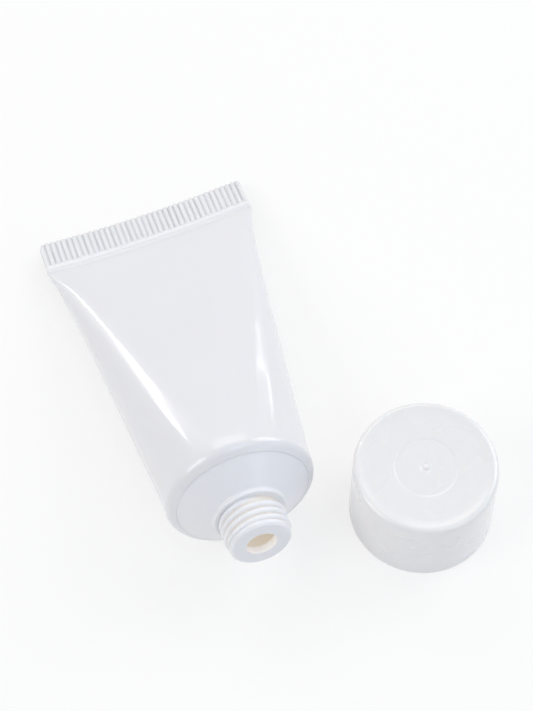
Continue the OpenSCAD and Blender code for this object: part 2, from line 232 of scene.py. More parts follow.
def plastic_group():
    """Colour = face colour moved to the warm colour by its mask, which is painted warmth for light bounced in
    hollows, times (clouds - fold x fold shade), where fold shade is painted shade in the seal's folds.
    Roughness follows the clouds too, and the normal is bumped by a fine ripple and by grain where masked."""
    group = bpy.data.node_groups.new("white_plastic", "ShaderNodeTree")
    new_input(group, "Face Colour", "NodeSocketColor", (0.8, 0.8, 0.8, 1.0))
    # The hollow colour is painted warmth: a warm tint standing in for light bounced in hollows.
    new_input(group, "Painted Warmth Colour", "NodeSocketColor", (0.8, 0.78, 0.7, 1.0))
    new_input(group, "Painted Warmth", "NodeSocketFloat", 0.0)
    new_input(group, "Fold", "NodeSocketFloat", 0.0)
    new_input(group, "Fold Shade", "NodeSocketFloat", 0.1)
    new_input(group, "Roughness", "NodeSocketFloat", 0.3)
    new_input(group, "Cloud Scale", "NodeSocketFloat", 90.0)
    new_input(group, "Ripple Scale", "NodeSocketFloat", 400.0)
    new_input(group, "Ripple Height", "NodeSocketFloat", 1.0)
    new_input(group, "Grain", "NodeSocketFloat", 0.0)
    for name, kind in (("Colour", "NodeSocketColor"), ("Roughness", "NodeSocketFloat"),
                       ("Normal", "NodeSocketVector")):
        group.interface.new_socket(name, in_out="OUTPUT", socket_type=kind)
    nodes = group.nodes
    links = group.links
    inputs = nodes.new("NodeGroupInput")
    outputs = nodes.new("NodeGroupOutput")
    coordinates = nodes.new("ShaderNodeTexCoord")

    def noise(scale, detail):
        """Noise round 0.5 over the piece, with a fixed scale or the scale of a named input."""
        texture = nodes.new("ShaderNodeTexNoise")
        texture.inputs["Detail"].default_value = detail
        links.new(coordinates.outputs["Object"], texture.inputs["Vector"])
        if isinstance(scale, str):
            links.new(inputs.outputs[scale], texture.inputs["Scale"])
        else:
            texture.inputs["Scale"].default_value = scale
        return texture.outputs["Fac"]

    def spread(value, low, high):
        """Noise from NOISE_LOW to NOISE_HIGH, moved to the span from low to high."""
        limits = nodes.new("ShaderNodeMapRange")
        limits.inputs["From Min"].default_value = NOISE_LOW
        limits.inputs["From Max"].default_value = NOISE_HIGH
        limits.inputs["To Min"].default_value = low
        limits.inputs["To Max"].default_value = high
        links.new(value, limits.inputs["Value"])
        return limits.outputs["Result"]

    def multiply(first, second):
        """Product of two values."""
        product = nodes.new("ShaderNodeMath")
        product.operation = "MULTIPLY"
        links.new(first, product.inputs[0])
        links.new(second, product.inputs[1])
        return product.outputs[0]

    clouds = noise("Cloud Scale", 2.0)
    tone = nodes.new("ShaderNodeMix")
    tone.data_type = "RGBA"
    links.new(inputs.outputs["Painted Warmth"], tone.inputs["Factor"])
    links.new(inputs.outputs["Face Colour"], tone.inputs["A"])
    links.new(inputs.outputs["Painted Warmth Colour"], tone.inputs["B"])
    shade = nodes.new("ShaderNodeVectorMath")
    shade.operation = "SCALE"
    links.new(tone.outputs["Result"], shade.inputs[0])
    # Painted shade in the folds: the fold mask times the fold shade comes off the colour.
    fold = multiply(inputs.outputs["Fold"], inputs.outputs["Fold Shade"])
    folded = nodes.new("ShaderNodeMath")
    folded.operation = "SUBTRACT"
    links.new(spread(clouds, *cloud_tone), folded.inputs[0])
    links.new(fold, folded.inputs[1])
    links.new(folded.outputs[0], shade.inputs["Scale"])
    links.new(shade.outputs["Vector"], outputs.inputs["Colour"])
    polish = multiply(inputs.outputs["Roughness"], spread(clouds, *cloud_polish))
    links.new(polish, outputs.inputs["Roughness"])
    ripple = multiply(noise("Ripple Scale", 1.0), inputs.outputs["Ripple Height"])
    grain = multiply(noise(grain_scale, 3.0), inputs.outputs["Grain"])
    height = nodes.new("ShaderNodeMath")
    links.new(ripple, height.inputs[0])
    links.new(grain, height.inputs[1])
    bump = nodes.new("ShaderNodeBump")
    bump.inputs["Distance"].default_value = bump_distance
    links.new(height.outputs[0], bump.inputs["Height"])
    links.new(bump.outputs["Normal"], outputs.inputs["Normal"])
    return group


white_plastic = plastic_group()
print("group sockets:", len(white_plastic.interface.items_tree))

# %% [markdown]
# The three pieces differ in polish. The film has the most, since it was drawn over a polished die and then
# lacquered, the cap less and the head least. That top polish is the coat, which is crisp, over a softer base.
# Walls this thin let light through, so the light spreads a little inside them. The light that comes in through
# the walls is also painted as a faint glow of the inside.

# %% Finishes


def add_mask(tree, attribute):
    """Output of the named mask, which is 0 where a mesh doesn't bring it."""
    mask = tree.nodes.new("ShaderNodeAttribute")
    mask.attribute_name = attribute
    return mask.outputs["Fac"]


def plastic_finish(name, face, hollow, roughness, coat, depth, glow, settings):
    """Glossy plastic: the shared effect feeds the Principled shader, whose coat keeps the mould's polish.
    Light spreads depth metres inside. The emission is a painted glow for light let in through the walls: the
    warm colour x its mask x glow."""
    material = bpy.data.materials.new(name)
    material.use_nodes = True
    tree = material.node_tree
    shader = tree.nodes["Principled BSDF"]
    shader.inputs["IOR"].default_value = 1.5
    shader.inputs["Subsurface Weight"].default_value = 0.25
    shader.inputs["Subsurface Radius"].default_value = (1.0, 0.8, 0.6)
    shader.inputs["Subsurface Scale"].default_value = depth
    shader.inputs["Coat Weight"].default_value = coat
    shader.inputs["Coat Roughness"].default_value = 0.06
    shader.inputs["Emission Strength"].default_value = 1.0
    effect = tree.nodes.new("ShaderNodeGroup")
    effect.node_tree = white_plastic
    effect.inputs["Face Colour"].default_value = (*face, 1.0)
    effect.inputs["Painted Warmth Colour"].default_value = (*hollow, 1.0)
    effect.inputs["Roughness"].default_value = roughness
    effect.inputs["Fold Shade"].default_value = 0.12
    for socket, value in settings.items():
        effect.inputs[socket].default_value = value
    for attribute, socket in (("hollow", "Painted Warmth"), ("fold", "Fold"), ("grain", "Grain")):
        tree.links.new(add_mask(tree, attribute), effect.inputs[socket])
    # Painted glow: emission that stands in for light let in through the thin walls.
    light = tree.nodes.new("ShaderNodeVectorMath")
    light.operation = "SCALE"
    light.inputs[0].default_value = [glow * channel for channel in hollow]
    tree.links.new(add_mask(tree, "deep"), light.inputs["Scale"])
    tree.links.new(light.outputs["Vector"], shader.inputs["Emission Color"])
    tree.links.new(effect.outputs["Colour"], shader.inputs["Base Color"])
    tree.links.new(effect.outputs["Roughness"], shader.inputs["Roughness"])
    tree.links.new(effect.outputs["Normal"], shader.inputs["Normal"])
    return material


# Each hollow colour is painted warmth, and each glow is painted light from inside the walls.
sleeve_finish = plastic_finish(
    "sleeve_film", face=(0.775, 0.775, 0.80), hollow=(0.80, 0.72, 0.58), roughness=0.30, coat=0.6,
    depth=0.0006, glow=0.10, settings={"Cloud Scale": 60.0, "Ripple Scale": 180.0, "Ripple Height": 0.4})
head_finish = plastic_finish(
    "head_plastic", face=(0.825, 0.83, 0.86), hollow=(0.83, 0.775, 0.69), roughness=0.32, coat=0.3,
    depth=0.0015, glow=0.30, settings={"Cloud Scale": 120.0, "Ripple Scale": 500.0, "Ripple Height": 0.5})
cap_finish = plastic_finish(
    "cap_plastic", face=(0.81, 0.805, 0.81), hollow=(0.76, 0.74, 0.70), roughness=0.28, coat=0.5,
    depth=0.0010, glow=0.10, settings={"Cloud Scale": 100.0, "Ripple Scale": 420.0, "Ripple Height": 0.5})
print("finishes:", [finish.name for finish in (sleeve_finish, head_finish, cap_finish)])

# %% [markdown]
# Every piece here is a closed skin of rings: each ring is a row of a grid, neighbouring rows are joined by
# quads, and the ends are closed by a strip, a fan or the first row again. Worked out as whole arrays, such a
# skin takes a moment, and its volume tells whether its faces point outwards.

# %% Grids and meshes


def ring_faces(first, second, count):
    """Quads between two rings of count points that start at the indices first and second."""
    near = np.arange(count)
    far = np.roll(near, -1)
    first = np.asarray(first)[..., None]
    second = np.asarray(second)[..., None]
    return np.stack([first + near, second + near, second + far, first + far], axis=-1).reshape(-1, 4)


def skin_volume(points, groups):
    """Volume inside closed faces: a sixth of the sum of a . (b x c) over their triangles."""
    total = 0.0
    for faces in groups:
        for second in range(1, faces.shape[1] - 1):
            a, b, c = points[faces[:, 0]], points[faces[:, second]], points[faces[:, second + 1]]
            total += np.einsum("ij,ij->", a, np.cross(b, c)) / 6
    return total


def add_piece(name, points, groups, finish, node, masks):
    """Mesh of the given points and groups of faces, smooth, facing outwards, in place of its CAD node."""
    points = points.reshape(-1, 3)
    volume = skin_volume(points, groups)
    if volume < 0:
        groups = [faces[:, ::-1] for faces in groups]
    mesh = bpy.data.meshes.new(name)
    mesh.from_pydata(points, [], [face for faces in groups for face in faces.tolist()])
    mesh.polygons.foreach_set("use_smooth", np.ones(len(mesh.polygons), bool))
    for mask, values in masks.items():
        layer = mesh.attributes.new(mask, "FLOAT", "POINT")
        layer.data.foreach_set("value", np.ravel(values).astype(np.float32))
    mesh.materials.append(finish)
    piece = bpy.data.objects.new(name, mesh)
    scene.collection.objects.link(piece)
    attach(piece, "root")
    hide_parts(node)
    triangles = sum(len(faces) * (faces.shape[1] - 2) for faces in groups)
    print(f"{name}: {triangles} triangles, {abs(volume) / MM ** 3:.0f} mm3")
    return piece


# %% [markdown]
# The sizes are those of the real tube in millimetres, and the places come from the frame: the middle of the
# head's box gives the tube's axis, and the middle of the cap's box gives the cap's.

# %% Sizes and places
sleeve_d = 30.0
sleeve_wall = 0.5
sleeve_len = 68.0
even_flare = 0.84
flare_power = 8
squareness = 4.0
ease_len = 3.0
seal_h = 9.0
seal_press = 0.05
flutes = 38
flute_depth = 0.4
bead_rise = 0.12
seal_corner = 1.5
seal_bow = 1.15
seal_lean = 1.8
seal_skew = 2.0
edge_r = 2.0
cone_angle = math.radians(33)
turn_in = 1.8
cap_y = -9.3
rest_share = 0.4
rest_span = 8.0

rim_r = sleeve_d / 2
girth = math.pi * sleeve_d
seal_t = 2 * sleeve_wall - seal_press
seal_half = math.pi * (sleeve_d - sleeve_wall) / 4 + sleeve_wall / 2


def box_middle(node):
    """Middle of a CAD node's box in millimetres."""
    low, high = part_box(node)
    return (low + high) / 2 / MM


head_middle = box_middle("tube_head")
cap_middle = box_middle("screw_cap")
rim_y = cap_middle.y - cap_y
print("tube axis at x", round(head_middle.x, 2), "and rim at y", round(rim_y, 2), "mm")

# %% [markdown]
# The sleeve is a round tube of film that is pressed flat at one end. Film bends but hardly stretches, so its
# girth is the same all along. Each section is therefore a superellipse, |x/a|^n + |u/b|^n = 1: its half width
# a follows the flare of the photograph, its squareness n grows towards the seal, and its half height b is
# whatever is left for the girth. Halving an interval thirty times finds b for all sections at once.

# %% Sections of the sleeve
QUARTER_STEPS = 200
HALVINGS = 30


def share_along(s):
    """0 at the rim and 1 at the seal, easing out of the round end: sqrt(s^2 + e^2) - e, by its last value."""
    def eased(value):
        """sqrt(s^2 + e^2) - e at one place or at many."""
        return np.sqrt(value ** 2 + ease_len ** 2) - ease_len
    return eased(s) / eased(sleeve_len)


def half_width(s):
    """Even widening by even_flare of the way, and the rest with a high power of the way."""
    share = share_along(s)
    return rim_r + (seal_half - rim_r) * (even_flare * share + (1 - even_flare) * share ** flare_power)


def section_power(s):
    """2, an ellipse, at the rim, growing to the squareness at the seal."""
    return 2 + (squareness - 2) * share_along(s)


def half_outlines(a, b, n):
    """Upper halves of |x/a|^n + |u/b|^n = 1, a row each, from the right end over the top to the left end:
    x = a * cos^(2/n) and u = b * sin^(2/n), each with its sign."""
    turn = np.radians(np.linspace(0, 180, 2 * QUARTER_STEPS + 1))
    power = (2 / n)[:, None]
    x = a[:, None] * np.sign(np.cos(turn)) * np.abs(np.cos(turn)) ** power
    u = b[:, None] * np.abs(np.sin(turn)) ** power
    return x, u


def half_height(s):
    """Half height that leaves each section the sleeve's girth, found by halving."""
    a = half_width(s)
    n = section_power(s)
    low = np.full_like(a, seal_t / 4)
    high = np.full_like(a, rim_r)
    for _ in range(HALVINGS):
        middle = (low + high) / 2
        x, u = half_outlines(a, middle, n)
        too_long = 2 * np.hypot(np.diff(x), np.diff(u)).sum(axis=1) > girth
        high = np.where(too_long, middle, high)
        low = np.where(too_long, low, middle)
    return np.maximum((low + high) / 2, seal_t / 2)


def even_halves(a, b, n, count):
    """The same halves as count steps of equal length along the outline, which run along the film's fibres."""
    x, u = half_outlines(a, b, n)
    length = np.concatenate([np.zeros((len(x), 1)), np.hypot(np.diff(x), np.diff(u)).cumsum(axis=1)], axis=1)
    at = np.linspace(0, 1, count + 1)
    even_x = np.array([np.interp(at * total[-1], total, row) for total, row in zip(length, x)])
    even_u = np.array([np.interp(at * total[-1], total, row) for total, row in zip(length, u)])
    return even_x, even_u


def whole_rings(upper_x, upper_u):
    """Full rings from their upper halves: the lower half mirrors the upper one on its way back."""
    x = np.concatenate([upper_x, upper_x[:, -2:0:-1]], axis=1)
    u = np.concatenate([upper_u, -upper_u[:, -2:0:-1]], axis=1)
    return x, u


sample = np.arange(0.0, sleeve_len, 20.0)
print("half heights at", sample, "mm:", half_height(sample).round(2))

# %% [markdown]
# The tube rests on the straight underside of its sleeve. The slope of that underside is the tilt of the
# axis, and the lowest point of the sleeve then gives the height of the rim.

# %% How the tube lies
rest_s = rest_share * sleeve_len
heights = half_height(np.array([rest_s - rest_span, rest_s + rest_span]))
rest_slope = (heights[0] - heights[1]) / (2 * rest_span)
tilt = math.atan(rest_slope)
along = np.linspace(0, sleeve_len, 60)
rim_z = (half_height(along) + rest_slope * along).max() * math.cos(tilt)


def lay(x, u, d):
    """The tube's x sideways, u up from its axis and d forwards of its rim, to the frame in metres."""
    x, u, d = np.broadcast_arrays(x, u, d)
    y = rim_y - d * math.cos(tilt) + u * math.sin(tilt)
    z = rim_z + d * math.sin(tilt) + u * math.cos(tilt)
    return np.stack([head_middle.x + x, y, z], axis=-1) * MM


def swayed(x, u, d, s):
    """The film was pressed flat a little out of true: towards the seal its sections move aside with s, and
    curl up and turn with s^2."""
    near = (s / sleeve_len) ** 2
    across = x / seal_half
    aside = seal_lean * s / sleeve_len
    curl = seal_bow * near * across ** 2
    turn = seal_skew / 2 * near * across
    return x + aside, u + curl, d - turn


print("tilt", round(math.degrees(tilt), 2), "degrees, rim", round(rim_z, 2), "mm up")

# %% [markdown]
# At its round end the film is turned in over the rounded edge of the shoulder, and stops there in a fine
# line. That edge is an arc and a short straight run, drawn once as radius and place and carried round the
# axis. The same lines serve for the inside of the film, a wall's thickness in.

# %% Turned-in edge
EDGE_STEPS = 14
lip = 0.1
edge_turn = math.pi / 2 - cone_angle
turn_run = (edge_r * math.cos(edge_turn) + turn_in - edge_r) / math.cos(cone_angle)
quarter_turn = np.radians(np.linspace(0, 90, 4))


def edge_rows(inset, run, turn):
    """Radius and place of the turned-in edge: an arc of edge_r - inset, run on straight down the cone."""
    radius = rim_r - edge_r + (edge_r - inset) * np.cos(turn) - run * math.cos(cone_angle)
    place = (edge_r - inset) * np.sin(turn) + run * math.sin(cone_angle)
    return radius, place


def edge_line(inset):
    """Rows of the edge from its rounded end over the cone and the arc, up to the rim."""
    deeper = lip * (1 - np.sin(quarter_turn))
    shorter = lip * (1 - np.cos(quarter_turn))
    end = edge_rows(inset + deeper, turn_run - shorter, edge_turn)
    cone = edge_rows(inset, np.linspace(turn_run - lip, 0, 6)[1:], edge_turn)
    arc = edge_rows(inset, 0.0, np.linspace(edge_turn, 0, EDGE_STEPS + 1)[1:-1])
    return tuple(np.concatenate(parts) for parts in zip(end, cone, arc))


def round_halves(radius, count):
    """Upper halves of circles, a row for each radius."""
    turn = np.radians(np.linspace(0, 180, count + 1))
    return np.outer(radius, np.cos(turn)), np.outer(radius, np.sin(turn))


print("rows of the edge:", len(edge_line(0.0)[0]))

# %% [markdown]
# The film has never been perfectly smooth. Handling leaves faint dents, so the outside is moved in by up to a
# quarter of a per cent, where slow waves along the tube and round it meet. The inside of such thin film isn't
# seen, and stays plain.

# %% Outside and inside of the film
OUTER_ROWS = 100
INNER_ROWS = 26
body_columns = 380
body_half = body_columns // 2
closed_end = 1.0
dent_share = 0.0012


def stations(count, length):
    """Places from 0 to length, closer together at both ends."""
    return length * (1 - np.cos(np.linspace(0, np.pi, count))) / 2


def soft_dents(x, u, d):
    """Factor just under 1 that leaves faint dents: a product of slow waves along and round the sleeve."""
    angle = np.arctan2(u, x)
    wave = np.sin(0.19 * d + 2.1 * np.sin(2 * angle)) * np.cos(3 * angle + 0.13 * d)
    return 1 - dent_share * (1 + wave)


def film_rows(inset, count, length):
    """Rings of the edge and then of the body, a wall of inset in from the outside: x, u and d."""
    edge_radius, edge_place = edge_line(inset)
    edge_x, edge_u = whole_rings(*round_halves(edge_radius, body_half))
    s = stations(count, length)
    halves = even_halves(half_width(s) - inset, half_height(s) - inset, section_power(s), body_half)
    body_x, body_u = whole_rings(*halves)
    x = np.concatenate([edge_x, body_x])
    u = np.concatenate([edge_u, body_u])
    return x, u, np.concatenate([edge_place, -s])[:, None]


def outer_rings():
    """Outside of the film with its dents, as points in the frame."""
    x, u, d = film_rows(0.0, OUTER_ROWS, sleeve_len)
    dent = soft_dents(x, u, d)
    return lay(*swayed(x * dent, u * dent, d, np.clip(-d, 0, None)))


def inner_rings():
    """Inside of the film, up to where it closes in front of the seal."""
    x, u, d = film_rows(sleeve_wall, INNER_ROWS, sleeve_len - closed_end)
    return lay(*swayed(x, u, d, np.clip(-d, 0, None)))


# %% [markdown]
# The seal is where the jaws of the sealing machine pressed the film flat and welded it. Upright flutes give
# it strength, each with a full rounded crest and a sharp fold beside it. Below them a plain strip slopes down
# to the bead of plastic that the jaws squeezed out, which is a little grainy. No two flutes are quite alike,
# so each gets its own depth and its own foot from a seeded list. The two faces are moved up and down
# together, because a flute that is raised on one face is a groove in the other.

# %% Seal
FLUTE_STEPS = 10
flute_foot = 1.9
flute_groove = 0.5
flute_rise = 0.5
flute_unlike = 0.15
foot_unlike = 0.12
crest_power = 0.85
foot_arc = 0.98
fold_reach = 0.75
bead_place = 0.65
bead_width = 0.35
bead_grain = 0.4
strip_place = 1.35
strip_dip = 0.08
side_round = 0.45
seal_start = 0.15
end_round = 0.06
end_pinch = 0.85
seal_steps = flutes * FLUTE_STEPS
dice = np.random.default_rng(5)


def seal_places():
    """Places behind the start of the seal: some on the strip, more where the flutes rise, few behind."""
    rise_from = flute_foot - 0.2
    rise_to = flute_foot + 1.2
    strip = np.linspace(seal_start, rise_from, 12)
    rise = np.linspace(rise_from, rise_to, 17)[1:]
    rest = np.linspace(rise_to, seal_h - end_round, 9)[1:]
    return np.concatenate([strip, rise, rest, [seal_h]])


def seal_rows(v):
    """Surface of the seal at the column of places v: x, upper u, lower u and v with the corners cut, and the
    masks of the grainy bead and of the painted shade in the folds. The sheet follows |sin|^crest_power across
    each flute."""
    column = np.arange(seal_steps + 1)
    x = seal_half * (1 - 2 * column / seal_steps)
    flute = np.minimum(column // FLUTE_STEPS, flutes - 1)
    across = (column / FLUTE_STEPS) % 1.0
    full = 1 + flute_unlike * dice.uniform(-1, 1, flutes)[flute]
    start = flute_foot + foot_unlike * dice.uniform(-1, 1, flutes)[flute]
    crest = np.abs(np.sin(np.pi * across)) ** crest_power
    round_foot = 0.5 * (1 - np.sqrt(1 - (2 * across - 1) ** 2 * foot_arc))
    rise = np.clip((v - start - round_foot) / flute_rise, 0, 1)
    rise = rise ** 2 * (3 - 2 * rise)
    sheet = (flute_depth / 2 - flute_groove * (1 - crest) * full) * rise
    # Painted shade: this mask darkens the colour in each fold.
    fold = np.clip(1 - crest / fold_reach, 0, 1) * rise
    bead = bead_rise * np.exp(-((v - bead_place) / bead_width) ** 2)
    strip = -strip_dip * np.exp(-((v - strip_place) / bead_width) ** 2)
    edge = np.clip((np.abs(x) - seal_half + side_round) / side_round, 0, 1)
    thick = (seal_t / 2 + bead + strip) * np.sqrt(1 - edge ** 2)
    over = np.clip(np.abs(x) - seal_half + seal_corner, 0, None)
    drop = seal_corner - np.sqrt(seal_corner ** 2 - over ** 2)
    place = v - drop * v / seal_h
    grain = np.exp(-((v - bead_place) / bead_grain) ** 4) * np.ones_like(x)
    return x * np.ones_like(place), sheet + thick, sheet - thick, place, grain, fold


def there_and_back(upper, lower):
    """Full rows from the upper face and, on the way back, the lower one."""
    return np.concatenate([upper, lower[:, -2:0:-1]], axis=1)


def seal_rings():
    """Skin of the seal as points in the frame, with its masks. The last row is pinched, to round the end."""
    v = seal_places()[:, None]
    x, top, bottom, place, grain, fold = seal_rows(v)
    pinch = np.where(v > seal_h - end_round / 2, end_pinch, 1.0)
    middle = (top + bottom) / 2
    u = there_and_back(middle + (top - middle) * pinch, middle + (bottom - middle) * pinch)
    behind = -sleeve_len - there_and_back(place, place)
    points = lay(*swayed(there_and_back(x, x), u, behind, sleeve_len))
    return points, there_and_back(grain, grain), there_and_back(fold, fold)


print("rows of the seal:", len(seal_places()))

# %% [markdown]
# The outside, the seal and the inside become one closed skin. The seal has twice as many points round it as
# the body, so a ring of triangles joins the two. A weld has no inside, so the hollow ends in front of it.

# %% Sleeve
grain_strength = 5.0


def fan_faces(coarse_start, fine_start, count):
    """Triangles between a ring of count points and one of twice as many, three to each step of the first."""
    near = np.arange(count)
    far = np.roll(near, -1)
    return np.concatenate([
        np.stack([coarse_start + near, fine_start + 2 * near, fine_start + 2 * near + 1], axis=1),
        np.stack([coarse_start + near, fine_start + 2 * near + 1, coarse_start + far], axis=1),
        np.stack([coarse_start + far, fine_start + 2 * near + 1, fine_start + 2 * far], axis=1)])


def closing_strip(start, half):
    """Quads across a ring, each from a step of its upper half to the same step of its lower half."""
    step = np.arange(1, half - 1)
    count = 2 * half
    return start + np.stack([step, step + 1, (count - step - 1) % count, (count - step) % count], axis=1)


def closing_tips(start, half):
    """The two triangles at the ends of such a strip."""
    return start + np.array([[0, 1, 2 * half - 1], [half - 1, half, half + 1]])


def make_sleeve():
    """Closed skin: edge and body outside, seal, and the inside of the film, joined at the turned-in edge."""
    outer = outer_rings()
    seal, seal_grain, seal_fold = seal_rings()
    inner = inner_rings()
    fine = 2 * seal_steps
    seal_at = len(outer) * body_columns
    inner_at = seal_at + len(seal) * fine
    starts = np.arange(len(outer)) * body_columns
    seal_starts = seal_at + np.arange(len(seal)) * fine
    inner_starts = inner_at + np.arange(len(inner)) * body_columns
    quads = np.concatenate([
        ring_faces(starts[:-1], starts[1:], body_columns),
        ring_faces(seal_starts[:-1], seal_starts[1:], fine),
        ring_faces(inner_starts[1:], inner_starts[:-1], body_columns),
        ring_faces(inner_starts[0], starts[0], body_columns),
        closing_strip(seal_starts[-1], seal_steps)[:, ::-1],
        closing_strip(inner_starts[-1], body_half)])
    triangles = np.concatenate([
        fan_faces(starts[-1], seal_at, body_columns),
        closing_tips(seal_starts[-1], seal_steps)[:, ::-1],
        closing_tips(inner_starts[-1], body_half)])
    before = np.zeros(seal_at)
    behind = np.zeros(len(inner) * body_columns)
    # The inside of the film gets painted warmth and a painted glow, for light let in through the walls.
    hollow = np.concatenate([np.zeros(inner_at), behind + 1])
    masks = {
        "grain": np.concatenate([before, seal_grain.ravel() * grain_strength, behind]),
        "fold": np.concatenate([before, seal_fold.ravel(), behind]),
        "hollow": hollow,
        "deep": hollow}
    points = np.concatenate([outer.reshape(-1, 3), seal.reshape(-1, 3), inner.reshape(-1, 3)])
    return add_piece("sleeve_skin", points, [quads, triangles], sleeve_finish, "tube_sleeve",
                     masks)


sleeve = make_sleeve()

# %% [markdown]
# The head and the cap are turned forms: one outline of radius and height, carried round an axis. Moulded
# edges are never quite sharp, so each corner of an outline becomes a short curve before the outline is cut
# into fine steps. The two threads are ridges that climb a helix: seen as a height on the wall, the ridge's
# middle is start + pitch * turn, and its section is (1 - |t|^2.6)^0.9 across its width.

# %% Outlines and threads
CORNER_POINTS = 7
ridge_square = 2.6
ridge_round = 0.9
ridge_fade = 1 / 6


def rounded(corners, closed):
    """Outline through corners of (radius, height, reach): each becomes (1-t)^2 * start + 2t(1-t) * corner +
    t^2 * end, where start and end lie reach away from it along its two sides."""
    corners = np.array(corners, float)
    place = corners[:, :2]
    before = np.roll(place, 1, axis=0) - place
    after = np.roll(place, -1, axis=0) - place
    reach = corners[:, 2:]
    start = place + before / np.linalg.norm(before, axis=1, keepdims=True) * reach
    end = place + after / np.linalg.norm(after, axis=1, keepdims=True) * reach
    t = np.linspace(0, 1, CORNER_POINTS)[None, :, None]
    curve = (1 - t) ** 2 * start[:, None] + 2 * t * (1 - t) * place[:, None] + t ** 2 * end[:, None]
    points = curve.reshape(-1, 2)
    step = np.linalg.norm(np.diff(points, axis=0), axis=1)
    points = points[np.concatenate([[True], step > 1e-6])]
    return np.concatenate([points, points[:1]]) if closed else points


def cut_fine(outline, longest):
    """The same outline with every straight run cut into steps no longer than longest."""
    runs = []
    for start, end in zip(outline[:-1], outline[1:]):
        count = max(1, math.ceil(np.linalg.norm(end - start) / longest))
        runs.append(start + (end - start) * (np.arange(count) / count)[:, None])
    return np.concatenate(runs + [outline[-1:]])


def arc_corners(x, y, radius, start, end, steps):
    """Corners with no reach along an arc, with its angles in degrees."""
    turn = np.radians(np.linspace(start, end, steps + 1))
    return [(x + radius * math.cos(a), y + radius * math.sin(a), 0.0) for a in turn]


def ridge_height(height, angle, start, pitch, turns, half, rise):
    """Height of a helical ridge over its wall, at every height and angle of a grid. It grows and fades as
    s^2 (3 - 2s) over the share ridge_fade of a turn at its ends."""
    total = np.zeros(np.broadcast(height, angle).shape)
    for lap in range(math.ceil(turns) + 1):
        turn = angle / (2 * np.pi) + lap
        size = np.clip(np.minimum(turn, turns - turn) / ridge_fade, 0, 1)
        size = size * size * (3 - 2 * size)
        t = np.clip(np.abs(height - start - pitch * turn) / half, 0, 1)
        total = np.maximum(total, rise * size * (1 - t ** ridge_square) ** ridge_round)
    return total


# %% [markdown]
# The head is one moulding: a short plug inside the sleeve, the cone of the shoulder, a bead at the foot of
# the neck, the threaded neck, its plain lip and the end wall with the orifice. It is hollow behind that wall.
# Its grooves and its inside look cream from light bounced there and let through the walls; that is painted
# warmth in the colour, and the inside and the orifice also get a painted glow.

# %% Head
COLUMNS = 240
neck_h = 7.55
core_r = 11.7 / 2
root_r = 0.2
thread_rise = 0.65
thread_pitch = 1.6
neck_pitch = 1.57
neck_turns = 3.4
neck_ridge_half = 0.7
thread_half = 0.62
thread_start = math.radians(60)
bead_r = 14.6 / 2
bead_h = 0.85
bead_edge = 0.3
foot_r = 0.5
lip_r = 12.2 / 2
lip_h = 1.05
lip_slope = 0.15
lip_edge = 0.45
orifice_r = 3.0
orifice_wall = 1.7
neck_wall = 1.35
turn_step = 0.12
shoulder_wall = 1.2
plug_len = 1.5
plug_taper = 0.3
bond_gap = 0.03
step_inset = 0.06
slack = 0.01
outline_cut = 0.28
wall_cut = 0.05
# Painted warmth in the thread's grooves and the bore, and a painted glow inside, stand in for light bounced
# there and let through the walls.
groove_reach = 0.4
groove_painted_warmth = 0.75
bore_painted_warmth = 0.05
bore_glow = 0.9
inside_glow = 0.8

turn_r = rim_r - turn_in
land_r = core_r - neck_wall
step_radius, step_place = edge_rows(turn_step, turn_run, edge_turn)


def cone_front(radius):
    """Place of the shoulder's cone at a radius, on the straight line from the step inwards."""
    return step_place + (turn_r - radius) * math.tan(cone_angle)


foot_d = cone_front(bead_r)
bead_top_d = foot_d + bead_h
tip_d = foot_d + neck_h
thread_low_d = bead_top_d + thread_half / 3


def head_outline():
    """From the back of the plug over the outside to the tip and back through the inside, as a closed line."""
    weld = sleeve_wall + bond_gap
    plug_r = rim_r - weld
    inner_r = plug_r - plug_taper - shoulder_wall
    drop = shoulder_wall / math.cos(cone_angle)
    edge = [(*edge_rows(weld, 0.0, turn), 0.0) for turn in np.linspace(0, edge_turn, 9)]
    corners = [(plug_r - plug_taper, -plug_len, 0.15), *edge]
    corners.append((*edge_rows(weld, turn_run + slack, edge_turn), 0.02))
    corners.append((*edge_rows(step_inset, turn_run + slack, edge_turn), 0.02))
    foot_top_d = cone_front(bead_r + foot_r) + foot_r / math.cos(cone_angle)
    corners += arc_corners(bead_r + foot_r, foot_top_d, foot_r, 180 + math.degrees(edge_turn), 180, 6)
    corners += arc_corners(bead_r - bead_edge, bead_top_d - bead_edge, bead_edge, 0, 90, 6)
    corners += arc_corners(core_r + root_r, bead_top_d + root_r, root_r, 270, 180, 5)
    corners += [(core_r, tip_d - lip_h - lip_slope, 0.1), (lip_r, tip_d - lip_h, 0.1)]
    corners += [(lip_r, tip_d - lip_edge, 0.2), (lip_r - lip_edge, tip_d, 0.06)]
    corners += [(orifice_r, tip_d, 0.12), (orifice_r, tip_d - orifice_wall, 0.1)]
    corners += [(land_r, tip_d - orifice_wall, 0.3), (land_r, cone_front(land_r) - drop, 0.3)]
    corners += [(inner_r, cone_front(inner_r) - drop, 0.5), (inner_r, -plug_len, 0.15)]
    return rounded(corners, closed=True)


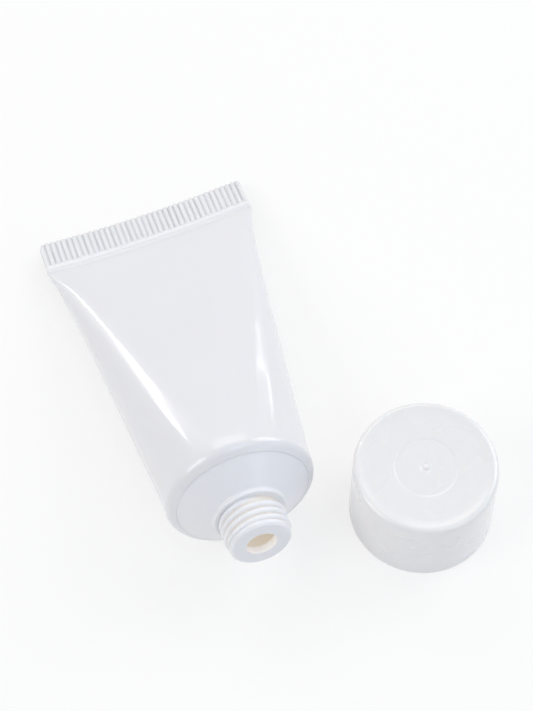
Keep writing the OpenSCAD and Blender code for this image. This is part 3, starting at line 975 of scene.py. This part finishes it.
def make_head():
    """Outline turned round the axis, with the thread raised on the neck's wall."""
    outline = cut_fine(head_outline(), outline_cut)
    height = outline[:, 1]
    wall = (height > bead_top_d - slack) & (height < tip_d - lip_h) & (outline[:, 0] > core_r - slack)
    first, last = np.flatnonzero(wall)[[0, -1]]
    fine_wall = cut_fine(outline[first:last + 1], wall_cut)
    outline = np.concatenate([outline[:first], fine_wall, outline[last + 1:-1]])
    radius = outline[:, :1]
    place = outline[:, 1:]
    outside = (place > bead_top_d - slack) & (place < tip_d - lip_h + slack) & (radius > core_r - slack)
    angle = np.arange(COLUMNS) * 2 * np.pi / COLUMNS
    raised = core_r + ridge_height(place, (angle - thread_start) % (2 * np.pi), thread_low_d,
                                   neck_pitch, neck_turns, neck_ridge_half, thread_rise)
    grid = np.where(outside, np.maximum(radius, raised), radius * np.ones_like(angle))
    # Painted warmth: grooves, bore and inside are tinted warm, and the bore and the inside glow.
    painted_groove_warmth = np.where(outside, np.clip(1 - (grid - core_r) / groove_reach, 0, 1) * groove_painted_warmth, 0)
    inside = (radius < land_r + 0.2) & (place < tip_d - orifice_wall + 0.1)
    bore = (radius < orifice_r + 0.02) & (place > tip_d - orifice_wall - 0.02) & (place < tip_d - 0.1)
    hollow = np.where(bore, bore_painted_warmth, np.where(inside, 1.0, painted_groove_warmth))
    deep = np.where(bore, bore_glow, np.where(inside, inside_glow, 0.0)) * np.ones_like(angle)
    points = lay(grid * np.cos(angle), grid * np.sin(angle), place)
    starts = np.arange(len(outline)) * COLUMNS
    faces = ring_faces(starts, np.roll(starts, -1), COLUMNS)
    return add_piece("head_moulding", points, [faces], head_finish, "tube_head",
                     {"hollow": hollow, "deep": deep})


head = make_head()

# %% [markdown]
# The cap is one moulding too: a plain skirt with a little draft, a rounded edge, and a top that is dished
# towards a flat disc with the gate mark in its middle, where the plastic entered the mould. Inside, a
# threaded collar hangs from the top panel, with a seat for the tip of the neck.

# %% Cap
cap_inset = 0.7
cap_draft = 0.8
cap_h = 18.9
cap_edge = 1.1
cap_wall = 1.25
rim_bevel = 0.25
land_w = 1.15
land_drop = 0.25
dish_depth = 0.6
disc_r = 6.2
disc_step = 0.08
gate_r = 1.1
gate_depth = 0.15
collar_wall = 1.05
lead_in = 1.4
mouth_relief = 0.2
cap_turns = 1.6
thread_gap = 0.2
rim_gap = 0.3
cap_ridge_h = 0.9
cap_ridge_w = 0.7
cap_outline_cut = 0.42
cap_wall_cut = 0.07
# Painted warmth of the cap's inside, standing in for bounced light.
cap_hollow = 0.8

cap_r = rim_r - cap_inset
cap_top_r = cap_r - cap_draft / 2
cap_bore_r = core_r + thread_rise + thread_gap
collar_r = cap_bore_r + collar_wall
mouth_r = cap_bore_r + mouth_relief


def sleeve_front(radius):
    """Place of the sleeve's front at a radius: on its rounded edge, or on the cone inside that."""
    arc_end = rim_r - edge_r + edge_r * math.cos(edge_turn)
    if radius > arc_end:
        return math.sqrt(edge_r ** 2 - (radius - rim_r + edge_r) ** 2)
    return edge_r * math.sin(edge_turn) + (arc_end - radius) * math.tan(cone_angle)


rim_front = sleeve_front(cap_r - cap_wall) + rim_gap
seat_z = tip_d - rim_front
collar_z = bead_top_d - rim_front + rim_gap
panel_z = cap_h - dish_depth - cap_wall


def cap_outline():
    """From the middle of the top over the skirt and the rim, and back inside to the middle of the panel."""
    dish_z = cap_h - dish_depth
    dish_r = cap_top_r - cap_edge - land_w
    rim_in = cap_r - cap_wall
    corners = [(0, dish_z + gate_depth, 0), (gate_r * 0.25, dish_z + gate_depth, 0.05)]
    corners += [(gate_r * 0.4, dish_z - gate_depth, 0.06), (gate_r * 0.8, dish_z - gate_depth, 0.08)]
    corners += [(gate_r, dish_z, 0.08)]
    corners += [(disc_r - 4 * disc_step, dish_z, 0.12), (disc_r, dish_z + disc_step, 0.15)]
    corners += [(dish_r, cap_h - land_drop, 0.9)]
    corners += arc_corners(cap_top_r - cap_edge, cap_h - cap_edge, cap_edge, 90, 0, 12)
    corners += [(cap_r, rim_bevel, 0.1), (cap_r - rim_bevel, 0, 0.1), (rim_in, 0, 0.12)]
    corners += [(rim_in - cap_draft / 2, panel_z, 0.6), (collar_r, panel_z, 0.5), (collar_r, collar_z, 0.12)]
    corners += [(mouth_r + rim_bevel, collar_z, 0.08), (mouth_r, collar_z + rim_bevel, 0.08)]
    corners += [(mouth_r, collar_z + lead_in, 0.05), (cap_bore_r, collar_z + lead_in, 0.05)]
    corners += [(cap_bore_r, seat_z, 0.1), (land_r, seat_z, 0.15), (land_r, panel_z, 0.3), (0, panel_z, 0)]
    return rounded(corners, closed=False)


def make_cap():
    """Outline turned round the cap's axis, with the thread raised inwards on the collar's wall."""
    outline = cut_fine(cap_outline(), cap_outline_cut)
    bore = (np.abs(outline[:, 0] - cap_bore_r) < slack) & (outline[:, 1] < seat_z)
    first, last = np.flatnonzero(bore)[[0, -1]]
    fine_wall = cut_fine(outline[first:last + 1], cap_wall_cut)
    outline = np.concatenate([outline[:first], fine_wall, outline[last + 1:]])
    radius = outline[1:-1, :1]
    height = outline[1:-1, 1:]
    angle = np.arange(COLUMNS) * 2 * np.pi / COLUMNS
    ridge_w = thread_half * cap_ridge_w
    ridge = ridge_height(height, angle, collar_z + lead_in + thread_half, thread_pitch, cap_turns, ridge_w,
                         thread_rise * cap_ridge_h)
    on_wall = (np.abs(radius - cap_bore_r) < slack) & (height < seat_z)
    grid = radius - np.where(on_wall, ridge, 0)
    wall = np.stack([grid * np.cos(angle), grid * np.sin(angle), height * np.ones_like(angle)], axis=-1)
    poles = np.array([[0, 0, outline[0, 1]], [0, 0, outline[-1, 1]]])
    place = np.array([cap_middle.x, cap_middle.y, 0])
    points = (np.concatenate([wall.reshape(-1, 3), poles]) + place) * MM
    starts = np.arange(len(outline) - 2) * COLUMNS
    column = np.arange(COLUMNS)
    follower = np.roll(column, -1)
    pole = len(points) - 2
    fans = np.concatenate([
        np.stack([np.full(COLUMNS, pole), column, follower], axis=1),
        np.stack([np.full(COLUMNS, pole + 1), starts[-1] + follower, starts[-1] + column], axis=1)])
    # The inside of the cap gets painted warmth and a faint painted glow.
    inside = (height < panel_z + slack) & (radius < cap_r - cap_wall + slack)
    hollow = np.append(np.where(inside, cap_hollow, 0.0) * np.ones_like(angle), [0.0, cap_hollow])
    return add_piece("cap_moulding", points, [ring_faces(starts[:-1], starts[1:], COLUMNS), fans], cap_finish,
                     "screw_cap", {"hollow": hollow, "deep": hollow})


cap = make_cap()
